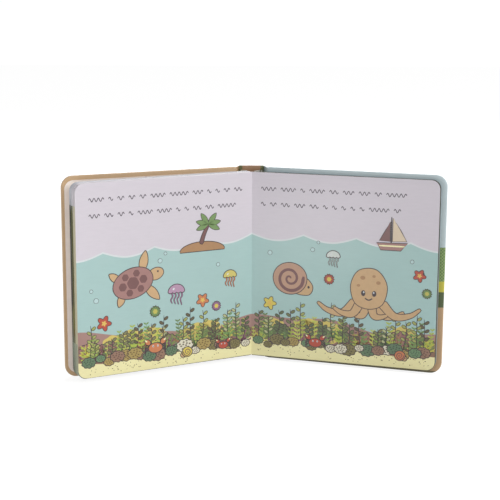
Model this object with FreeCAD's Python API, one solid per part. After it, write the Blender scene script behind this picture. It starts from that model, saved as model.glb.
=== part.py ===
import FreeCAD, Part
import math
import os

# A square padded board book that stands open on its foot, with its spine at the back.
# All sizes are millimetres and degrees. +Z is up, -Y is the side that the open pages face.
# The sizes are laid out from the gutter, the crease between the two open pages, and the
# whole book is moved at the end so that the origin is under the middle of its box.

# The leaves
page_width = 196.0
page_height = 196.0
page_corner = 9.0
leaf_thickness = 1.55
left_leaves = 8
right_leaves = 4
leaf_gap = 0.22            # how far two leaves part at the fore edge
bound_width = 8.0          # the strip at the root where the leaves are glued together

# How far the book is open: each page stands forward of the spine's plane by its angle
left_page_angle = 27.9
right_page_angle = 17.8
left_cover_splay = 3.2     # the left cover stands away from its leaves at the fore edge
right_cover_splay = 0.85   # the right cover stands away from its leaves at the spine

# The two covers
head_overhang = 4.5        # the covers pass the leaves by this at head and foot
board_shortfall = 7.0      # the boards are narrower than the leaves by this
left_board_setback = 11.2  # from the gutter line out to where the left board begins
right_board_setback = 13.0
board_thickness = 4.2      # board and padding at the rim
padding_crown = 0.9        # how much the padding swells past the rim in the middle
cover_corner = 12.0
board_root_corner = 3.0
outer_rim_radius = 2.0
inner_rim_chamfer = 0.7
cover_clearance = 0.35     # between the inside of a cover and the leaves

# The sheets pasted inside the covers
endpaper_thickness = 0.5
endpaper_setback = 1.5
front_endpaper_width = 184.5
back_endpaper_width = 182.0

# The spine and the flexible joints beside it
spine_allowance = 3.6      # the spine is wider than the leaves by this on each side
spine_thickness = 3.0
spine_crown = 0.8
spine_edge_radius = 0.9
spine_shift = -0.7         # the spine's middle, from the gutter line
hollow_back = 4.6          # the hollow between the leaves' backs and the spine
joint_thickness = 1.2
joint_depth = 0.4          # from the board's inner face to the joint strip
joint_bury = 2.0           # how far the joint strip runs into the board
joint_clearance = 0.3      # between a joint strip's round edge and the spine
joint_relief = 0.5         # the joint strip stops short of the head and the foot

# The folds of the endpapers, which hold the leaves to the inside of the spine
fold_thickness = 0.6
fold_landing = 3.0
fold_inset = 1.5

LEFT, RIGHT = -1, 1
UP = FreeCAD.Vector(0, 0, 1)
ORIGIN = FreeCAD.Vector(0, 0, 0)

left_stack = left_leaves * leaf_thickness
right_stack = right_leaves * leaf_thickness
cover_height = page_height + 2 * head_overhang
board_width = page_width - board_shortfall
spine_width = left_stack + right_stack + 2 * spine_allowance


def along(side, angle):
    """Unit vector from the gutter out along a page or cover that stands at this angle."""
    turn = math.radians(angle)
    return FreeCAD.Vector(side * math.cos(turn), -math.sin(turn), 0)


def behind(side, angle):
    """Unit vector square to that page or cover, towards the back of the book."""
    turn = math.radians(angle)
    return FreeCAD.Vector(side * math.sin(turn), math.cos(turn), 0)


def stand(shape, side, angle, corner):
    """Turn a shape laid out in X (out from the gutter) and Y (to the back) to its place."""
    placed = shape.mirror(ORIGIN, FreeCAD.Vector(1, 0, 0)) if side == LEFT else shape.copy()
    placed.rotate(ORIGIN, UP, -side * angle)
    placed.translate(corner)
    return placed


def plate(width, thickness, height, root_radius, fore_radius):
    """An upright slab from the root at X 0 to the fore edge, its corners rounded as seen from Y."""
    slab = Part.makeBox(width, thickness, height)
    for radius, x in ((fore_radius, width), (root_radius, 0)):
        if radius > 0:
            corners = [
                edge for edge in slab.Edges
                if edge.BoundBox.YLength > thickness / 2
                and abs(edge.CenterOfMass.x - x) < radius / 2
                and min(edge.CenterOfMass.z, height - edge.CenterOfMass.z) < radius / 2
            ]
            slab = slab.makeFillet(radius, corners)
    return slab


def prism(points, foot, height):
    """A plan outline raised from the foot by the height."""
    corners = [FreeCAD.Vector(p.x, p.y, foot) for p in points]
    return Part.Face(Part.makePolygon(corners + corners[:1])).extrude(UP * height)


def ribbon(points, thickness, foot, height):
    """A strip of even thickness on its edge along a plan path, mitred where the path turns."""
    def normal(a, b):
        step = (b - a).normalize()
        return FreeCAD.Vector(-step.y, step.x, 0)

    normals = [normal(a, b) for a, b in zip(points, points[1:])]
    offsets = []
    for before, after in zip(normals[:1] + normals, normals + normals[-1:]):
        middle = (before + after).normalize()
        offsets.append(middle * (thickness / 2 / middle.dot(before)))
    one_side = [p + o for p, o in zip(points, offsets)]
    other_side = [p - o for p, o in zip(points, offsets)]
    return prism(one_side + other_side[::-1], foot, height)


def leaf_stack(leaves):
    """The leaves of one side, glued along the root and slightly parted at the fore edge."""
    stack = plate(page_width, leaves * leaf_thickness, page_height, 0, page_corner)
    stack.translate(UP * head_overhang)
    for number in range(1, leaves):
        level = number * leaf_thickness
        past_edge = page_width + 1
        half_gap = leaf_gap / 2 * (past_edge - bound_width) / (page_width - bound_width)
        wedge = [
            FreeCAD.Vector(bound_width, level, 0),
            FreeCAD.Vector(past_edge, level - half_gap, 0),
            FreeCAD.Vector(past_edge, level + half_gap, 0),
        ]
        stack = stack.cut(prism(wedge, 0, cover_height))
    return stack


def root_corner(side, angle, stack):
    """The back corner of a stack at its root, in plan."""
    return behind(side, angle) * stack


spine_front = max(
    root_corner(LEFT, left_page_angle, left_stack).y,
    root_corner(RIGHT, right_page_angle, right_stack).y,
) + hollow_back


def spine_edge(side):
    """X of the spine's left or right edge."""
    return spine_shift + side * spine_width / 2


def hinge_axis(side):
    """Where the vertical axis of a cover's joint stands, just outside the spine's edge."""
    reach = joint_thickness / 2 + joint_clearance
    return FreeCAD.Vector(spine_edge(side) + side * reach, spine_front + spine_thickness / 2, 0)


def endpaper_fold(side, angle, stack):
    """The fold that ties the back of a stack to the inside of the spine, along its edge."""
    level = stack - fold_thickness / 2
    landing = spine_edge(side) - side * fold_inset
    seat = spine_front - fold_thickness / 2
    path = [
        along(side, angle) * (bound_width / 2) + behind(side, angle) * level,
        along(side, angle) * (fold_thickness / 2) + behind(side, angle) * level,
        FreeCAD.Vector(landing - side * fold_landing, seat, 0),
        FreeCAD.Vector(landing, seat, 0),
    ]
    return ribbon(path, fold_thickness, head_overhang, page_height)


def page_block():
    """Both stacks, joined in front by the folded sheet that shows, and behind by the folds."""
    back_left = behind(LEFT, left_page_angle)
    back_right = behind(RIGHT, right_page_angle)
    middle = (back_left + back_right).normalize()
    crease = prism(
        [
            ORIGIN,
            back_right * leaf_thickness,
            middle * (leaf_thickness / middle.dot(back_right)),
            back_left * leaf_thickness,
        ],
        head_overhang,
        page_height,
    )
    left = stand(leaf_stack(left_leaves), LEFT, left_page_angle, ORIGIN)
    right = stand(leaf_stack(right_leaves), RIGHT, right_page_angle, ORIGIN)
    folds = [
        endpaper_fold(LEFT, left_page_angle, left_stack),
        endpaper_fold(RIGHT, right_page_angle, right_stack),
    ]
    return left.fuse([right, crease] + folds).removeSplitter()


def spine():
    """The spine strip, flat inside and gently rounded outside, with softened edges."""
    half = spine_width / 2
    back = spine_front + spine_thickness

    def point(x, y):
        return FreeCAD.Vector(spine_shift + x, y, 0)

    outline = Part.Wire([
        Part.LineSegment(point(-half, spine_front), point(half, spine_front)).toShape(),
        Part.LineSegment(point(half, spine_front), point(half, back)).toShape(),
        Part.Arc(point(half, back), point(0, back + spine_crown), point(-half, back)).toShape(),
        Part.LineSegment(point(-half, back), point(-half, spine_front)).toShape(),
    ])
    strip = Part.Face(outline).extrude(UP * cover_height)
    outer = [edge for edge in strip.Edges if edge.CenterOfMass.y > spine_front + spine_thickness / 2 + 0.1]
    return strip.makeFillet(spine_edge_radius, outer)


def padded_board():
    """A cover board with its padding: flat inside, crowned across its width, soft at the rims."""
    swell = board_thickness + padding_crown
    board = plate(board_width, swell, cover_height, board_root_corner, cover_corner)
    crown_radius = ((board_width / 2) ** 2 + padding_crown ** 2) / (2 * padding_crown)
    crown_middle = FreeCAD.Vector(board_width / 2, swell - crown_radius, 0)
    board = board.common(Part.makeCylinder(crown_radius, cover_height, crown_middle, UP))
    outer_rim = [edge for edge in board.Edges if edge.BoundBox.YMin > board_thickness / 2]
    board = board.makeFillet(outer_rim_radius, outer_rim)
    inner_rim = [edge for edge in board.Edges if edge.BoundBox.YMax < inner_rim_chamfer / 2]
    return board.makeChamfer(inner_rim_chamfer, inner_rim)


def cover_angle(side):
    """How far a cover stands forward of the spine's plane."""
    if side == LEFT:
        return left_page_angle - left_cover_splay
    return right_page_angle + right_cover_splay


def cover_corner_point(side):
    """The inside corner of a cover board at its root, in plan.

    The pasted sheet stays clear of the leaves where they come nearest to it: at the root on
    the left, where the cover opens away from them, and at the fore edge on the right.
    """
    if side == LEFT:
        page, stack, setback, nearest = left_page_angle, left_stack, left_board_setback, left_board_setback
    else:
        page, stack, setback, nearest = right_page_angle, right_stack, right_board_setback, page_width
    level = stack + cover_clearance + endpaper_thickness
    touch = along(side, page) * nearest + behind(side, page) * level
    out = along(side, cover_angle(side))
    return touch + out * ((setback - nearest) / along(side, page).dot(out))


def cover(side):
    """A padded board with the flexible strip that joins it to the spine."""
    corner = cover_corner_point(side)
    out = along(side, cover_angle(side))
    back = behind(side, cover_angle(side))
    board = stand(padded_board(), side, cover_angle(side), corner)
    axis = hinge_axis(side)
    mouth = corner + back * (joint_depth + joint_thickness / 2)
    strip = ribbon(
        [axis, mouth, mouth + out * joint_bury],
        joint_thickness,
        joint_relief,
        cover_height - 2 * joint_relief,
    )
    round_edge = Part.makeCylinder(
        joint_thickness / 2,
        cover_height - 2 * joint_relief,
        axis + UP * joint_relief,
    )
    return board.fuse([strip, round_edge]).removeSplitter()


def endpaper(side, width):
    """The sheet pasted inside a cover, as high as the leaves."""
    sheet = plate(width, endpaper_thickness, page_height, 0, page_corner)
    sheet.translate(FreeCAD.Vector(endpaper_setback, -endpaper_thickness, head_overhang))
    return stand(sheet, side, cover_angle(side), cover_corner_point(side))


nodes = {
    "page_block": page_block(),
    "spine": spine(),
    "front_cover": cover(LEFT),
    "front_endpaper": endpaper(LEFT, front_endpaper_width),
    "back_cover": cover(RIGHT),
    "back_endpaper": endpaper(RIGHT, back_endpaper_width),
}

box = Part.makeCompound(list(nodes.values())).optimalBoundingBox(False)
to_origin = FreeCAD.Vector(-box.Center.x, -box.Center.y, -box.ZMin)

os.makedirs("parts", exist_ok=True)
for name, shape in nodes.items():
    shape.translate(to_origin)
    shape.exportStep("parts/" + name + ".step")
    print(name, "valid", shape.isValid(), "solids", len(shape.Solids), "volume", round(shape.Volume))

print("size", [round(length, 2) for length in (box.XLength, box.YLength, box.ZLength)])
for label, side in (("front", LEFT), ("back", RIGHT)):
    place = hinge_axis(side) + to_origin
    print(label, "cover axis", round(place.x, 3), round(place.y, 3))
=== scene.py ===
# %% [markdown]
# # A padded board book that stands open
#
# The real thing has twelve thick card leaves, a padded case of two boards and a spine, and two
# pasted sheets that tie the leaves to the case. The CAD model already fixes every place and size.
# Here each piece gets its own surface: leaves with softly cut edges, pillowed covers, joint
# strips, and print made of flat colours.
#
# %% Load the imported model
import math

import bmesh
import bpy
import numpy as np
from mathutils import Matrix, Vector


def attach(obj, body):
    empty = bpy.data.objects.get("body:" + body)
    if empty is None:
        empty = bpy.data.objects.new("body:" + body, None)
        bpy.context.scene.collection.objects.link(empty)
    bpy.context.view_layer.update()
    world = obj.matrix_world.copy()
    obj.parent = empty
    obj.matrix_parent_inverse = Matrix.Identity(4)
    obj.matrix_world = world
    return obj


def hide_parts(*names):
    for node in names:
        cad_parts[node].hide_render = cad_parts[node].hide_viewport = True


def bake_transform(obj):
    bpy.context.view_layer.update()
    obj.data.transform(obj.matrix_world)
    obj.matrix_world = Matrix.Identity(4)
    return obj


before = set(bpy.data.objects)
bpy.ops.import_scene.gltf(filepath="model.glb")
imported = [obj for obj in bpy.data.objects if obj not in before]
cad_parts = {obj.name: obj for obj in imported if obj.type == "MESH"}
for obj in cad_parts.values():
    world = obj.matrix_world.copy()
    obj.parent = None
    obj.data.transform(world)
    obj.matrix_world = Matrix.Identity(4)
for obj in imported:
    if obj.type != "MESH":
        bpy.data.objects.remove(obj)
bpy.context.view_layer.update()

# %% [markdown]
# ## The camera
#
# The photograph was taken from a little above the middle of the book, with a long lens. A camera
# can be turned with angles or with a constraint, but a matrix of its three axes says exactly
# which way is right, up and back, so the axes are worked out here and written in.
#
# %% Camera at the photograph's place
MM = 0.001
CAMERA_PLACE = Vector((-7.68, -1291.1, 378.4)) * MM
CAMERA_PITCH = math.radians(11.104)
CAMERA_YAW = math.radians(0.113)
CAMERA_ROLL = math.radians(0.25)
FOCAL_PIXELS = 1289.4
IMAGE_SIDE = 500

level_right = Vector((math.cos(CAMERA_YAW), -math.sin(CAMERA_YAW), 0))
level_forward = Vector((math.sin(CAMERA_YAW), math.cos(CAMERA_YAW), 0))
forward = level_forward * math.cos(CAMERA_PITCH) - Vector((0, 0, math.sin(CAMERA_PITCH)))
level_up = level_right.cross(forward)
right = level_right * math.cos(CAMERA_ROLL) + level_up * math.sin(CAMERA_ROLL)
up = level_up * math.cos(CAMERA_ROLL) - level_right * math.sin(CAMERA_ROLL)

camera_data = bpy.data.cameras.new("camera")
camera_data.sensor_width = 36
camera_data.lens = FOCAL_PIXELS / IMAGE_SIDE * camera_data.sensor_width
camera_data.clip_start = 0.05
camera_data.clip_end = 50
camera = bpy.data.objects.new("camera", camera_data)
bpy.context.scene.collection.objects.link(camera)
axes = Matrix((right, up, -forward)).transposed().to_4x4()
camera.matrix_world = Matrix.Translation(CAMERA_PLACE) @ axes
bpy.context.scene.camera = camera
print("lens in mm", round(camera_data.lens, 2))

# %% [markdown]
# ## Where things stand
#
# Every flat part of the book is easiest to draw lying down: X runs out from the spine, Y runs
# to the back of the book and Z is up. One small function then stands it at its angle. The
# numbers repeat the ones that the CAD model was built from.
#
# %% Sizes in millimetres and the standing function
PAGE = 196.0
PAGE_CORNER = 9.0
PAGE_FOOT = 4.5
LEAF = 1.55
FORE_GAP = 0.22
COVER_HEIGHT = 205.0
BOARD_WIDTH = 189.0
BOARD = 4.2
CROWN = 0.9
LEFT, RIGHT = -1, 1
GUTTER = np.array([-3.167, 36.177])
PAGE_ANGLE = {LEFT: 27.9, RIGHT: 17.8}
LEAVES = {LEFT: 8, RIGHT: 4}
FAN = {LEFT: [1.0, 0.68, 0.42, 0.22, 0.1, 0.04, 0, 0], RIGHT: [0, 0, 0, 0]}  # degrees off the stack
COVER_ANGLE = {LEFT: 24.7, RIGHT: 18.65}
COVER_ROOT = {LEFT: np.array([-19.27, 42.65]), RIGHT: np.array([12.19, 41.50])}
HINGE = {LEFT: np.array([-17.667, 53.236]), RIGHT: np.array([9.933, 53.236])}
SPINE_EDGE = {LEFT: -16.767, RIGHT: 9.033}
SPINE_INSIDE = 51.44  # how far back the pasted paper lies on the spine
CASE = {LEFT: "front_cover", RIGHT: "back_cover"}


def out_and_back(side, angle):
    """Two plan directions of a part at this angle: out from the spine, and to the back."""
    turn = math.radians(angle)
    out = np.array([side * math.cos(turn), -math.sin(turn)])
    back = np.array([side * math.sin(turn), math.cos(turn)])
    return out, back


def stand(points, side, angle, corner):
    """Points laid out as X, Y, Z in mm, moved to corner + X out + Y back, in metres."""
    out, back = out_and_back(side, angle)
    plan = corner + points[..., :1] * out + points[..., 1:2] * back
    return np.concatenate([plan, points[..., 2:]], axis=-1) * MM


# %% [markdown]
# ## Meshes from numpy arrays
#
# Nearly every piece here is a stack of closed rings: a leaf, a board and a folded strip all
# have the same number of points on each ring, and quads join one ring to the next. Two caps
# close the ends, so each piece is watertight.
#
# %% Rings to a closed mesh
def ring_faces(rings, count, start=0):
    """Quads between ring r and ring r + 1, then the first and last ring as two caps."""
    here = np.arange(count)
    there = np.roll(here, -1)
    base = start + count * np.arange(rings - 1)[:, None]
    above = base + count
    quads = np.stack([base + here, base + there, above + there, above + here], axis=-1)
    caps = [list(start + here[::-1]), list(start + (rings - 1) * count + here)]
    return caps + quads.reshape(-1, 4).tolist()


def piece(name, points, faces, finishes, finish_of=None, crease=35):
    """A mesh object at the origin, with outward normals and edges sharper than crease kept."""
    mesh = bpy.data.meshes.new(name)
    mesh.from_pydata(points.reshape(-1, 3).tolist(), [], faces)
    for finish in finishes:
        mesh.materials.append(finish)
    if finish_of is not None:
        mesh.polygons.foreach_set("material_index", np.asarray(finish_of, dtype=np.int32))
    shell = bmesh.new()
    shell.from_mesh(mesh)
    bmesh.ops.recalc_face_normals(shell, faces=shell.faces)
    shell.to_mesh(mesh)
    shell.free()
    mesh.shade_smooth()
    mesh.set_sharp_from_angle(angle=math.radians(crease))
    made = bpy.data.objects.new(name, mesh)
    bpy.context.scene.collection.objects.link(made)
    return made


def point_values(made, name, values, kind="FLOAT_VECTOR"):
    """Stores one value per vertex under a name that the materials can read."""
    key = {"FLOAT_VECTOR": "vector", "FLOAT_COLOR": "color", "FLOAT": "value"}[kind]
    attribute = made.data.attributes.new(name, kind, "POINT")
    attribute.data.foreach_set(key, np.asarray(values, dtype=np.float32).ravel())


def report(made):
    print(made.name, len(made.data.polygons), "faces")
    return made


# %% [markdown]
# ## Colours and node helpers
#
# Printed card is made of inks under a thin gloss film, so each finish is one Principled shader
# whose colour comes from small node graphs. One short call for each kind of node keeps the
# graphs readable.
#
# %% Inks and node helpers
def ink(red, green, blue):
    """A colour as a paint chart gives it, turned into the linear light that shaders use."""
    share = np.array([red, green, blue]) / 255
    linear = np.where(share <= 0.04045, share / 12.92, ((share + 0.055) / 1.055) ** 2.4)
    return (*linear.tolist(), 1.0)


class Graph:
    """A material with one Principled shader, and short calls for the nodes that feed it."""

    def __init__(self, name, roughness, film=0.0, film_roughness=0.2):
        self.finish = bpy.data.materials.new(name)
        self.finish.use_nodes = True
        self.tree = self.finish.node_tree
        self.shader = self.tree.nodes["Principled BSDF"]
        self.shader.inputs["Roughness"].default_value = roughness
        self.shader.inputs["Coat Weight"].default_value = film
        self.shader.inputs["Coat Roughness"].default_value = film_roughness

    def put(self, socket, value):
        if isinstance(value, bpy.types.NodeSocket):
            self.tree.links.new(value, socket)
        else:
            socket.default_value = value

    def math(self, operation, *values):
        node = self.tree.nodes.new("ShaderNodeMath")
        node.operation = operation
        for socket, value in zip(node.inputs, values):
            self.put(socket, value)
        return node.outputs[0]

    def mix(self, share, first, second):
        node = self.tree.nodes.new("ShaderNodeMix")
        node.data_type = "RGBA"
        self.put(node.inputs["Factor"], share)
        self.put(node.inputs[6], first)
        self.put(node.inputs[7], second)
        return node.outputs[2]

    def noise(self, where, scale, detail=2.0, roughness=0.5):
        node = self.tree.nodes.new("ShaderNodeTexNoise")
        self.put(node.inputs["Vector"], where)
        node.inputs["Scale"].default_value = scale
        node.inputs["Detail"].default_value = detail
        node.inputs["Roughness"].default_value = roughness
        return node.outputs["Fac"]

    def cells(self, where, scale, randomness):
        """Distance to the nearest of many scattered points."""
        node = self.tree.nodes.new("ShaderNodeTexVoronoi")
        self.put(node.inputs["Vector"], where)
        node.inputs["Scale"].default_value = scale
        node.inputs["Randomness"].default_value = randomness
        return node.outputs["Distance"]

    def stretched(self, where, scale):
        """The place with each axis scaled: a noise that reads it is drawn out."""
        node = self.tree.nodes.new("ShaderNodeMapping")
        self.put(node.inputs["Vector"], where)
        node.inputs["Scale"].default_value = scale
        return node.outputs[0]

    def place(self):
        """Object coordinates, in metres."""
        return self.tree.nodes.new("ShaderNodeTexCoord").outputs["Object"]

    def stored(self, name):
        node = self.tree.nodes.new("ShaderNodeAttribute")
        node.attribute_name = name
        return node

    def split(self, vector):
        node = self.tree.nodes.new("ShaderNodeSeparateXYZ")
        self.put(node.inputs[0], vector)
        return node.outputs

    def below(self, height, edge, soft=0.0015):
        """1 where height is under edge, 0 above, with a border as soft as printed ink."""
        rise = self.math("DIVIDE", self.math("SUBTRACT", edge, height), soft)
        node = self.tree.nodes.new("ShaderNodeClamp")
        self.put(node.inputs[0], self.math("ADD", rise, 0.5))
        return node.outputs[0]

    def waves(self, along, level, terms):
        """level + the sum of amplitude * sin(cycles * along + phase)."""
        total = level
        for amplitude, cycles, phase in terms:
            swing = self.math("SINE", self.math("MULTIPLY_ADD", along, cycles, phase))
            total = self.math("MULTIPLY_ADD", swing, amplitude, total)
        return total

    def shade(self, colour, grain, swing, least):
        """colour times least + swing * grain, which stays near 1."""
        node = self.tree.nodes.new("ShaderNodeHueSaturation")
        self.put(node.inputs["Color"], colour)
        self.put(node.inputs["Value"], self.math("MULTIPLY_ADD", grain, swing, least))
        return node.outputs[0]

    def bump(self, height, distance):
        """Relief in the light only; distance is its depth in metres."""
        node = self.tree.nodes.new("ShaderNodeBump")
        node.inputs["Strength"].default_value = 1.0
        node.inputs["Distance"].default_value = distance
        self.put(node.inputs["Height"], height)
        self.put(self.shader.inputs["Normal"], node.outputs[0])

    def colour(self, value):
        self.put(self.shader.inputs["Base Color"], value)
        return self.finish


SKY = ink(217, 210, 218)
SEA = ink(168, 201, 198)
FOAM = ink(222, 226, 228)
FAR_MOUND = ink(172, 138, 130)
NEAR_MOUND = ink(148, 112, 96)
SAND = ink(250, 244, 190)
TAN = ink(200, 166, 126)
LIGHT_BLUE = ink(204, 220, 224)
LINE = ink(62, 50, 52)

# roughness of the paper, then weight and roughness of the gloss film on it
PRINTED_PAGE = {"roughness": 0.42, "film": 0.25, "film_roughness": 0.28}
COVER_FILM = {"roughness": 0.4, "film": 0.35, "film_roughness": 0.22}
print("inks ready")

# %% [markdown]
# ## The printed spread
#
# The two open pages carry one picture: a pale sky, a sea with a scalloped edge, low mounds and
# a strip of sand. Large fields with soft borders suit nodes: each border is a height that
# depends on the place along the spread, so a scallop is the absolute value of a sine. Every leaf
# stores where each point is on the page: along is 0 at the gutter, 1 at the right fore edge and
# -1 at the left one, height is a share of the page, and depth is in millimetres.
#
# %% Finish of the open pages
SCALLOPS = 7.0
SCALLOP_DEPTH = 0.034
FOAM_WIDTH = 0.009
# each border: its level, then the amplitude, cycles and phase of its waves
SEA_TOP = (0.655, [(0.018, 2.3, 0.6)])
FAR_TOP = (0.205, [(0.028, 5.1, 0.4), (0.012, 12.7, 1.9)])
NEAR_TOP = (0.135, [(0.03, 7.3, 2.6), (0.01, 17.0, 0.3)])
SAND_TOP = (0.082, [(0.016, 4.1, 1.2), (0.006, 19.0, 2.2)])


def film_tooth(g, where):
    """The slight roughness that card shows through its gloss film."""
    g.bump(g.noise(where, 1400, detail=1), 0.00002)


def spread_finish():
    g = Graph("printed_spread", **PRINTED_PAGE)
    along, height, _ = g.split(g.stored("page_place").outputs["Vector"])
    where = g.place()
    # the sea's edge: crests where the sine crosses zero, on a slow swell
    wave = g.math("SINE", g.math("MULTIPLY", along, SCALLOPS * math.pi / 2))
    swell = g.waves(along, *SEA_TOP)
    sea_edge = g.math("MULTIPLY_ADD", g.math("ABSOLUTE", wave), -SCALLOP_DEPTH, swell)
    # brush grain, stretched along the page as poster paint is
    grain = g.noise(g.stretched(where, (1.0, 1.0, 6.0)), 90, detail=4)
    patches = g.noise(where, 22, detail=2)
    sea = g.mix(g.math("MULTIPLY", patches, 0.5), SEA, ink(182, 208, 204))
    sand = g.mix(g.math("MULTIPLY", patches, 0.5), SAND, ink(236, 224, 164))
    far = g.mix(patches, FAR_MOUND, ink(160, 122, 112))
    near = g.mix(patches, NEAR_MOUND, ink(128, 100, 74))
    picture = g.mix(g.below(height, g.math("ADD", sea_edge, FOAM_WIDTH)), SKY, FOAM)
    picture = g.mix(g.below(height, sea_edge), picture, sea)
    for field, top in ((far, FAR_TOP), (near, NEAR_TOP), (sand, SAND_TOP)):
        picture = g.mix(g.below(height, g.waves(along, *top)), picture, field)
    film_tooth(g, where)
    return g.colour(g.shade(picture, grain, 0.08, 0.96))


def inner_page_finish():
    """Pages that are shut away: sky over a field that is cream on the first leaves, olive on
    the next and dark at the back, where the dark is painted shade, with a line of painted shade
    at the foot. The right stack's pages are painted dark all over as shade."""
    g = Graph("inner_page", roughness=0.45, film=0.2, film_roughness=0.3)
    along, height, depth = g.split(g.stored("page_place").outputs["Vector"])
    field_edge = g.waves(along, 0.88, [(0.012, 6.0, 0.2)])
    low_edge = g.waves(along, 0.2, [(0.02, 9.0, 1.2)])
    # how deep in the stack the cream and the olive pages reach, in millimetres
    cream_to, olive_to, border = 2 * LEAF + 0.3, 5 * LEAF - 0.3, 0.1
    # the dark ink on the back leaves is painted shade of the gaps between leaves
    field = g.mix(g.below(depth, olive_to, border), ink(52, 48, 28), ink(96, 94, 40))
    field = g.mix(g.below(depth, cream_to, border), field, ink(206, 198, 164))
    picture = g.mix(g.below(height, field_edge), SKY, field)
    picture = g.mix(g.below(height, low_edge), picture, ink(150, 160, 140))
    # painted shade: a dark line along the foot
    picture = g.mix(g.below(height, 0.002), picture, ink(84, 76, 52))
    # painted shade: the right stack's pages dark all over
    picture = g.mix(g.below(along, 0.0), ink(74, 72, 46), picture)
    return g.colour(g.shade(picture, g.noise(g.place(), 120), 0.1, 0.95))


def leaf_edge_finish():
    """Cut card: the stored edge colour, rubbed ink with painted shade on the back leaves and the
    right stack, broken up by the card's fibres.
    """
    g = Graph("leaf_edge", roughness=0.7)
    fibres = g.noise(g.stretched(g.place(), (1.0, 1.0, 0.25)), 900, detail=3)
    # the stored colour holds rubbed ink and, on the back leaves and the right stack, painted shade
    rubbed_ink_and_shade = g.stored("edge_ink_and_shade").outputs["Color"]
    g.bump(fibres, 0.00004)
    return g.colour(g.shade(rubbed_ink_and_shade, fibres, 0.5, 0.74))


def lining_finish(name, ground, dots):
    """Lining paper: a pale ground with rows of soft round dots, pasted on the outermost leaves."""
    g = Graph(name, roughness=0.55, film=0.1, film_roughness=0.35)
    where = g.place()
    picture = g.mix(g.below(g.cells(where, 62, 0.3), 0.2, 0.03), ground, dots)
    g.bump(g.noise(where, 700, detail=3), 0.00003)
    return g.colour(g.shade(picture, g.noise(where, 200), 0.08, 0.96))


LINING = {
    LEFT: lining_finish("front_lining", ink(246, 236, 228), ink(196, 172, 176)),
    RIGHT: lining_finish("back_lining", ink(200, 212, 218), ink(178, 196, 204)),
}
SPREAD = spread_finish()
INNER_PAGE = inner_page_finish()
LEAF_EDGE = leaf_edge_finish()
print("page finishes ready")

# %% [markdown]
# ## The leaves
#
# Each leaf is thick card with a die-cut outline: square at the spine, rounded at the two outer
# corners. A cube with a bevel would do, but rings give full control: every ring is the outline,
# drawn a little smaller near the two faces so that the cut edge is soft. The leaves part by a
# hair at the fore edge, as well-read ones do, and the left ones also fan out by up to a degree.
# The cut edges carry inks that have rubbed off, and painted shade on the back leaves and the right
# stack, so each leaf has a list of inks by height.
#
# %% Outline with rounded corners, and the leaves
def outline(x0, x1, z0, z1, root_radius, fore_radius, steps=9, rungs=0):
    """Closed outline in X and Z: four quarter circles joined by straight runs.

    The rungs are extra points up the fore edge, for inks that change with height."""
    turn = np.linspace(0, math.pi / 2, steps)
    corners = [
        (x0 + root_radius, z0 + root_radius, root_radius, math.pi),
        (x1 - fore_radius, z0 + fore_radius, fore_radius, 1.5 * math.pi),
        (x1 - fore_radius, z1 - fore_radius, fore_radius, 0.0),
        (x0 + root_radius, z1 - root_radius, root_radius, 0.5 * math.pi),
    ]
    arcs = [
        np.stack([x + r * np.cos(start + turn), z + r * np.sin(start + turn)], axis=-1)
        for x, z, r, start in corners
    ]
    heights = np.linspace(z0 + fore_radius, z1 - fore_radius, rungs + 2)[1:-1]
    arcs.insert(2, np.column_stack([np.full(rungs, x1), heights]))
    return np.concatenate(arcs)


EDGE_SOFTNESS = 0.24
SOFT_RINGS = 4  # rings that draw the soft edge of one face
FORE_RUNGS = 44  # extra points up the fore edge, for the inks
SQUARE_CORNER = 0.01  # not quite 0, so that each corner has the same number of points
DROOP = [0.0, 1.1, 0.5, 0.8, 0.4, 0.9, 0.6, 0.7]  # how far each leaf's foot hangs down, in mm
FORE_SHIFT = [0.0, -0.18, 0.12, -0.1, 0.2, 0.05, -0.15, 0.1]  # uneven trim at the fore edge

# inks of the cut edges, with painted shade in the darkest stops of the back leaves and the right
# stack: height on the page in mm, then red, green and blue
PALE_EDGE = [(0, (150, 146, 112)), (8, (214, 206, 176)), (150, (222, 216, 190)),
             (185, (224, 222, 224))]
RUBBED_EDGE = [(0, (118, 128, 104)), (40, (138, 144, 120)), (44, (112, 78, 56)),
               (52, (136, 130, 58)), (70, (134, 130, 58)), (76, (74, 76, 32)),
               (168, (66, 76, 36)), (175, (170, 178, 180)), (188, (206, 212, 218))]
# the darkest stops, at the foot and from 74 to 168 mm, are painted shade in the gaps between the
# back leaves; the olive and the pale head are the edges' own colour
BACK_EDGE_AND_GAP_SHADE = [(0, (62, 46, 42)), (17, (66, 50, 44)), (21, (104, 106, 92)), (66, (110, 108, 70)),
             (74, (46, 42, 26)), (168, (48, 48, 28)), (176, (150, 158, 160)),
             (188, (196, 204, 212))]
# painted shade: the right stack's edges sit in shadow next to the cover, so they are dark all over
RIGHT_EDGE_SHADE = [(0, (66, 60, 44)), (190, (50, 54, 42))]

# finishes of a leaf block, in the order of its material slots
OPEN_PAGE, SHUT_PAGE, CUT_EDGE, PASTED_PAGE = range(4)


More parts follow.
